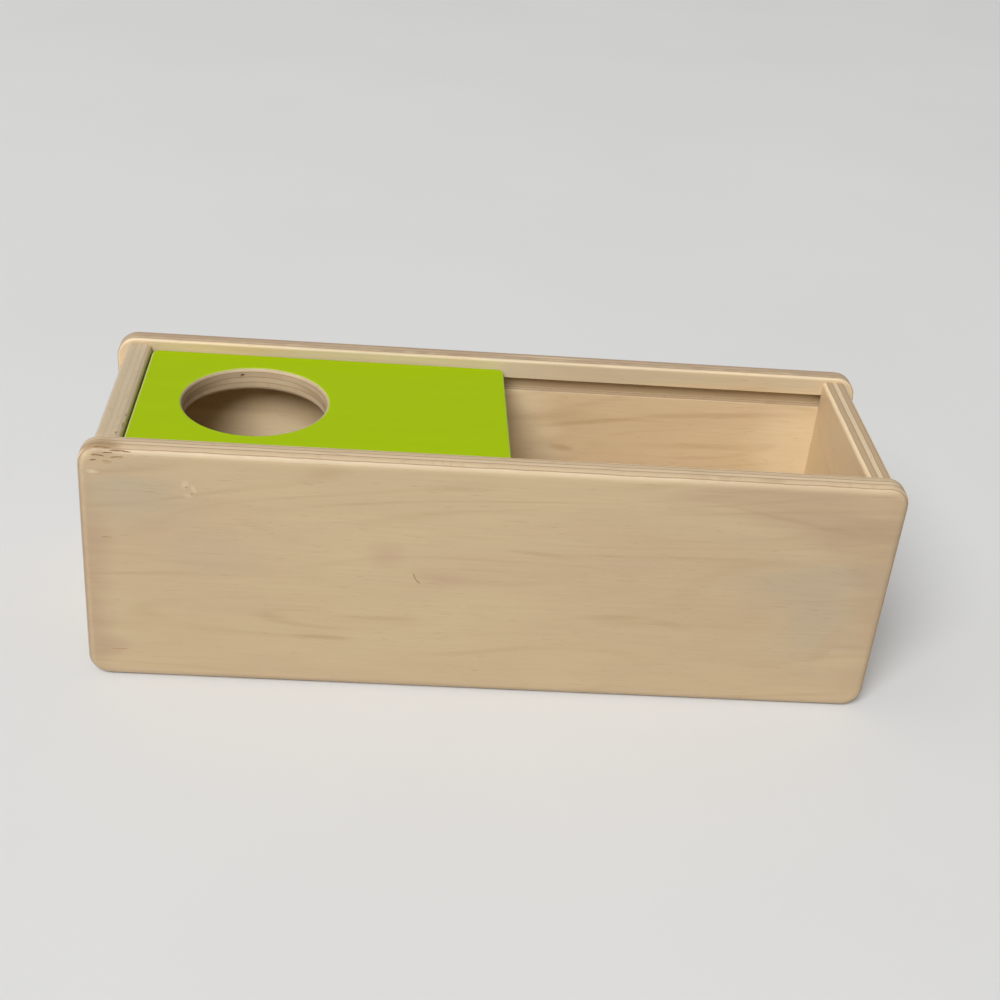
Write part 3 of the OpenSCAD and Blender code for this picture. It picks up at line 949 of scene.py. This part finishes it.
class TOYBOX_OT_stage(bpy.types.Operator):
    """Sets up the floor, the light and the camera"""
    bl_idname = "toybox.stage"
    bl_label = "Stage"

    def execute(self, context):
        scene = context.scene
        look = scene.box_stage
        shape = bmesh.new()
        bmesh.ops.create_grid(shape, x_segments=8, y_segments=8, size=look.floor_reach)
        mesh = bpy.data.meshes.new("floor")
        shape.to_mesh(mesh)
        shape.free()
        mesh.materials.append(matt_white_board("matt_white_board", look.fade_start / MM, look.fade_end / MM))
        floor = new_object("floor", mesh)
        floor.location.z = -look.floor_drop

        # The light of the room is stronger from the left
        world = bpy.data.worlds.new("soft_room")
        world.use_nodes = True
        tree = world.node_tree
        tree.nodes.clear()
        toward = add(tree, "SeparateXYZ", {0: add(tree, "TexCoord")["Generated"]})[0]
        left, right = ((1 + lean) * look.fill_strength for lean in (look.fill_lean, -look.fill_lean))
        strength = add(
            tree, "MapRange",
            {"Value": toward, "From Min": -1.0, "From Max": 1.0, "To Min": left, "To Max": right},
        )[0]
        room = add(tree, "Background", {"Color": (1.0, 1.0, 1.0), "Strength": strength})[0]
        backdrop = add(tree, "Background", {"Color": scene.box_colours.floor, "Strength": 1.0})[0]
        both = add(tree, "MixShader", {0: seen_rays(tree), 1: room, 2: backdrop})[0]
        add(tree, "OutputWorld", {"Surface": both})
        scene.world = world

        lamp = bpy.data.lights.new("softbox", "AREA")
        lamp.shape = "DISK"
        lamp.size = look.key_size
        lamp.energy = look.key_strength
        new_object("softbox", lamp).matrix_world = (
            Matrix.Rotation(look.key_azimuth, 4, "Z")
            @ Matrix.Rotation(math.pi / 2 - look.key_elevation, 4, "X")
            @ Matrix.Translation((0, 0, look.key_distance))
        )

        lens = bpy.data.cameras.new("camera")
        lens.sensor_fit = "HORIZONTAL"
        lens.sensor_width = SENSOR_WIDTH
        lens.lens = look.lens
        lens.shift_x, lens.shift_y = look.shift
        camera = new_object("camera", lens)
        camera.matrix_world = (
            Matrix.Translation(look.camera_place)
            @ Matrix.Rotation(-look.azimuth, 4, "Z")
            @ Matrix.Rotation(math.pi / 2 - look.elevation, 4, "X")
            @ Matrix.Rotation(look.roll, 4, "Z")
        )
        scene.camera = camera
        scene.view_settings.view_transform = "Standard"
        return {"FINISHED"}


class TOYBOX_PT_panel(bpy.types.Panel):
    """Sizes, colours and steps of the box"""
    bl_idname = "TOYBOX_PT_panel"
    bl_label = "Sliding lid box"
    bl_space_type = "VIEW_3D"
    bl_region_type = "UI"
    bl_category = "Toy box"

    def draw(self, context):
        for operator in OPERATORS:
            self.layout.operator(operator.bl_idname)
        for place, group in GROUPS.items():
            part = self.layout.box()
            for name in group.__annotations__:
                part.prop(getattr(context.scene, place), name)


GROUPS = {"box_shape": BoardShape, "box_colours": WoodColours, "box_stage": StageLook}
OPERATORS = (
    TOYBOX_OT_long_panels, TOYBOX_OT_end_boards, TOYBOX_OT_base_board, TOYBOX_OT_sliding_lid,
    TOYBOX_OT_dowels, TOYBOX_OT_stage,
)


def register():
    for group in GROUPS.values():
        bpy.utils.register_class(group)
    for name, group in GROUPS.items():
        setattr(bpy.types.Scene, name, PointerProperty(type=group))
    for kind in (*OPERATORS, TOYBOX_PT_panel):
        bpy.utils.register_class(kind)


def unregister():
    for kind in (TOYBOX_PT_panel, *reversed(OPERATORS)):
        bpy.utils.unregister_class(kind)
    for name, group in GROUPS.items():
        delattr(bpy.types.Scene, name)
        bpy.utils.unregister_class(group)


def main():
    register()
    bpy.ops.toybox.long_panels()
    bpy.ops.toybox.end_boards()
    bpy.ops.toybox.base_board()
    bpy.ops.toybox.sliding_lid()
    bpy.ops.toybox.dowels()
    bpy.ops.toybox.stage()


if __name__ == "__main__":
    main()
